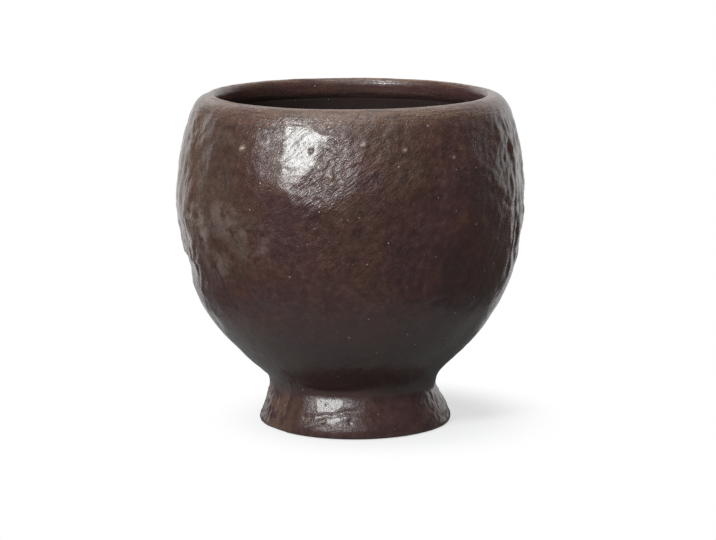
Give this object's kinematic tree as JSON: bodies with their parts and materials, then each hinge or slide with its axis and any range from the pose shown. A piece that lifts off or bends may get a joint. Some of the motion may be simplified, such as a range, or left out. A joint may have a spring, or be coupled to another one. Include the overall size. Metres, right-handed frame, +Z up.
{
  "type": "cup",
  "caption": "Handleless globe-shaped stoneware cup with a turned-in rounded lip and a flared hollow foot, glazed dark brown inside and out, for drinking.",
  "frame": {"origin": "on the table, under the middle of the bowl", "axes": "+Z up along the bowl's axis, -Y towards the front of the picture, +X to its right"},
  "size_m": [0.0903, 0.0903, 0.0855],
  "materials": {
    "stoneware": "bare fired stoneware, matt and slightly gritty",
    "wet_clay": "the same clay put on wet and fired, hidden by the glaze",
    "brown_glaze": "dark brown semi-gloss glaze with an uneven hand-worked surface"
  },
  "bodies": {
    "root": {"bowl": "stoneware", "foot_ring": "stoneware", "luting_slip": "wet_clay", "neck_coil": "wet_clay", "outer_glaze": "brown_glaze", "inner_glaze": "brown_glaze"}
  },
  "joints": []
}
